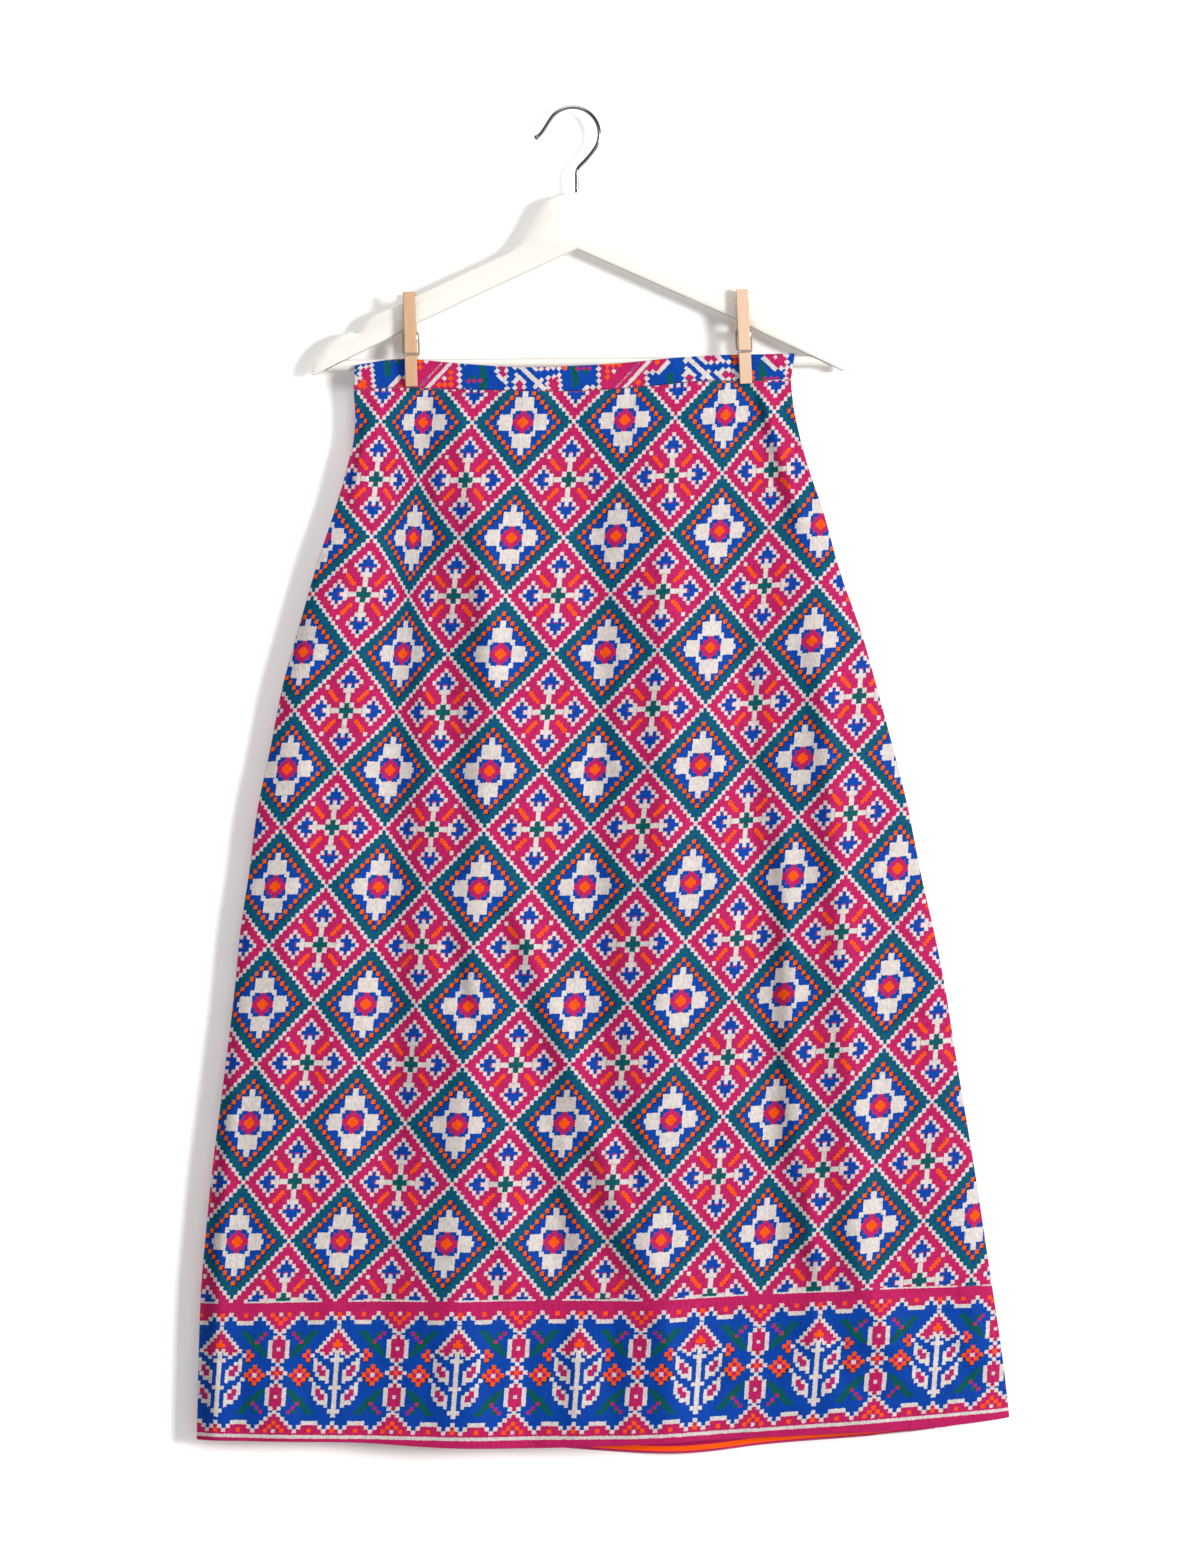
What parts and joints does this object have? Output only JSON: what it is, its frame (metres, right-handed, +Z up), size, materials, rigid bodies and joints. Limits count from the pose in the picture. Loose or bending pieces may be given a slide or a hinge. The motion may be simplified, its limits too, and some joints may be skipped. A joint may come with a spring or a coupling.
{
  "type": "a-line skirt on a coat hanger",
  "caption": "Long a-line skirt in a bright geometric print, held by clothespins to the bar of a white wooden coat hanger.",
  "frame": {"origin": "inner top of the hanger hook's crook, where a rail bears", "axes": "+Z up; the skirt's front faces -Y; +X to the right as seen from the front"},
  "size_m": [0.6669, 0.0432, 1.1092],
  "materials": {
    "white_paint": "white satin paint",
    "chrome_wire": "polished",
    "peg_wood": "raw sanded",
    "spring_steel": "zinc plated",
    "printed_cloth": "printed fine plain weave",
    "band_cloth": "printed fine plain weave",
    "hem_cloth": "printed fine plain weave"
  },
  "bodies": {
    "root": {"hanger_body": "white_paint", "hanger_bar": "white_paint", "hanger_hook": "chrome_wire", "waistband_front": "band_cloth", "waistband_back": "band_cloth", "skirt_front": "printed_cloth", "skirt_back": "printed_cloth", "hem_turnup_front": "hem_cloth", "hem_turnup_back": "hem_cloth", "peg_left_front": "peg_wood", "peg_left_rear": "peg_wood", "peg_left_spring": "spring_steel", "peg_right_front": "peg_wood", "peg_right_rear": "peg_wood", "peg_right_spring": "spring_steel"}
  },
  "joints": []
}
